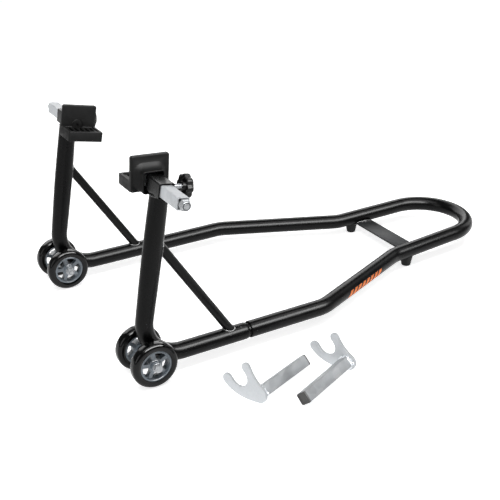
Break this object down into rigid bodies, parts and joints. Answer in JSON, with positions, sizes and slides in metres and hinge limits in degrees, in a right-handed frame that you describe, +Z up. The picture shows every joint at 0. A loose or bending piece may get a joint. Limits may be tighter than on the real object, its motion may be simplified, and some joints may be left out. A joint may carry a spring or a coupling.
{
  "type": "motorcycle paddock stand",
  "caption": "Rear paddock stand with leaning tube uprights, twin wheels, sliding square bars with rubber rests, bent handle loop and loose fork adapters.",
  "frame": {"origin": "on the floor, under the centre of the bounding box", "axes": "+X from the wheels to the handle, +Y to the right of a person who holds the handle and faces the wheels, +Z up"},
  "size_m": [0.8968, 0.7042, 0.3707],
  "materials": {
    "black_paint": "gloss black powder coat",
    "strap_paint": "satin black powder coat, looks dark grey from above",
    "galvanised_steel": "bright zinc, slightly mottled",
    "zinc_fasteners": "bright zinc",
    "bush_steel": "plain bright steel",
    "pad_rubber": "satin moulded rubber",
    "foot_rubber": "satin moulded rubber",
    "tyre": "gloss black solid tyre",
    "hub_plastic": "satin blue-grey moulded plastic",
    "knob_plastic": "satin black moulded plastic",
    "cap_plastic": "satin black moulded plastic"
  },
  "bodies": {
    "frame": {"bar_socket_left": "black_paint", "clamp_nut_left": "black_paint", "bar_socket_right": "black_paint", "clamp_nut_right": "black_paint", "side_tube_left": "black_paint", "brace_left": "black_paint", "axle_sleeve_left": "black_paint", "axle_bolt_left": "zinc_fasteners", "axle_nut_left": "zinc_fasteners", "axle_washer_left_outer": "zinc_fasteners", "axle_washer_left_inner": "zinc_fasteners", "foot_left": "foot_rubber", "foot_screw_left": "zinc_fasteners", "side_tube_right": "black_paint", "brace_right": "black_paint", "axle_sleeve_right": "black_paint", "axle_bolt_right": "zinc_fasteners", "axle_nut_right": "zinc_fasteners", "axle_washer_right_outer": "zinc_fasteners", "axle_washer_right_inner": "zinc_fasteners", "foot_right": "foot_rubber", "foot_screw_right": "zinc_fasteners", "handle_loop": "black_paint", "cross_strap": "strap_paint"},
    "wheel_left_outer": {"tyre_left_outer": "tyre", "hub_left_outer": "hub_plastic", "bush_left_outer": "bush_steel"},
    "wheel_left_inner": {"tyre_left_inner": "tyre", "hub_left_inner": "hub_plastic", "bush_left_inner": "bush_steel"},
    "wheel_right_outer": {"tyre_right_outer": "tyre", "hub_right_outer": "hub_plastic", "bush_right_outer": "bush_steel"},
    "wheel_right_inner": {"tyre_right_inner": "tyre", "hub_right_inner": "hub_plastic", "bush_right_inner": "bush_steel"},
    "bar_assembly_left": {"bar_left": "galvanised_steel", "pad_bolt_left": "zinc_fasteners", "pad_nut_left": "zinc_fasteners"},
    "pad_body_left": {"pad_left": "pad_rubber"},
    "clamp_screw_left": {"clamp_stud_left": "zinc_fasteners"},
    "knob_body_left": {"knob_left": "knob_plastic"},
    "bar_assembly_right": {"bar_right": "galvanised_steel", "pad_bolt_right": "zinc_fasteners", "pad_nut_right": "zinc_fasteners"},
    "pad_body_right": {"pad_right": "pad_rubber"},
    "clamp_screw_right": {"clamp_stud_right": "zinc_fasteners"},
    "knob_body_right": {"knob_right": "knob_plastic"},
    "adapter_front": {"hook_plate_front": "galvanised_steel", "hook_bar_front": "galvanised_steel", "hook_cap_front": "cap_plastic"},
    "adapter_rear": {"hook_plate_rear": "galvanised_steel", "hook_bar_rear": "galvanised_steel", "hook_cap_rear": "cap_plastic"}
  },
  "joints": [
    {"name": "wheel_left_outer_spin", "type": "hinge", "parent": "frame", "child": "wheel_left_outer", "pos_m": [-0.40857, -0.16767, 0.04], "axis": [0, 1, 0], "continuous": true},
    {"name": "wheel_left_inner_spin", "type": "hinge", "parent": "frame", "child": "wheel_left_inner", "pos_m": [-0.40857, -0.10667, 0.04], "axis": [0, 1, 0], "continuous": true},
    {"name": "wheel_right_outer_spin", "type": "hinge", "parent": "frame", "child": "wheel_right_outer", "pos_m": [-0.40857, 0.29033, 0.04], "axis": [0, 1, 0], "continuous": true},
    {"name": "wheel_right_inner_spin", "type": "hinge", "parent": "frame", "child": "wheel_right_inner", "pos_m": [-0.40857, 0.22933, 0.04], "axis": [0, 1, 0], "continuous": true},
    {"name": "bar_left_slide", "type": "slide", "parent": "frame", "child": "bar_assembly_left", "axis": [0, 1, 0], "range_m": [0, 0.05]},
    {"name": "pad_left_swivel", "type": "hinge", "parent": "bar_assembly_left", "child": "pad_body_left", "pos_m": [-0.36857, -0.09467, 0.33], "axis": [0, 1, 0], "range_deg": [-12, 12]},
    {"name": "clamp_left_travel", "type": "slide", "parent": "frame", "child": "clamp_screw_left", "axis": [0.9848, 0, -0.1736], "range_m": [0, 0.00375]},
    {"name": "knob_left_turn", "type": "hinge", "parent": "clamp_screw_left", "child": "knob_body_left", "pos_m": [-0.32426, -0.13717, 0.32219], "axis": [0.9848, 0, -0.1736], "range_deg": [0, 1080]},
    {"name": "bar_right_slide", "type": "slide", "parent": "frame", "child": "bar_assembly_right", "axis": [0, -1, 0], "range_m": [0, 0.05]},
    {"name": "pad_right_swivel", "type": "hinge", "parent": "bar_assembly_right", "child": "pad_body_right", "pos_m": [-0.36857, 0.21733, 0.33], "axis": [0, 1, 0], "range_deg": [-12, 12]},
    {"name": "clamp_right_travel", "type": "slide", "parent": "frame", "child": "clamp_screw_right", "axis": [0.9848, 0, -0.1736], "range_m": [0, 0.00375]},
    {"name": "knob_right_turn", "type": "hinge", "parent": "clamp_screw_right", "child": "knob_body_right", "pos_m": [-0.32426, 0.25983, 0.32219], "axis": [0.9848, 0, -0.1736], "range_deg": [0, 1080]},
    {"name": "adapter_front_lift", "type": "slide", "parent": "frame", "child": "adapter_front", "axis": [0, 0, 1], "range_m": [0, 0.3]},
    {"name": "adapter_rear_lift", "type": "slide", "parent": "frame", "child": "adapter_rear", "axis": [0, 0, 1], "range_m": [0, 0.3]}
  ],
  "couplings": [
    {"joint": "knob_left_turn", "follows": "clamp_left_travel", "rad_per_m": 5026.5},
    {"joint": "knob_right_turn", "follows": "clamp_right_travel", "rad_per_m": 5026.5}
  ]
}
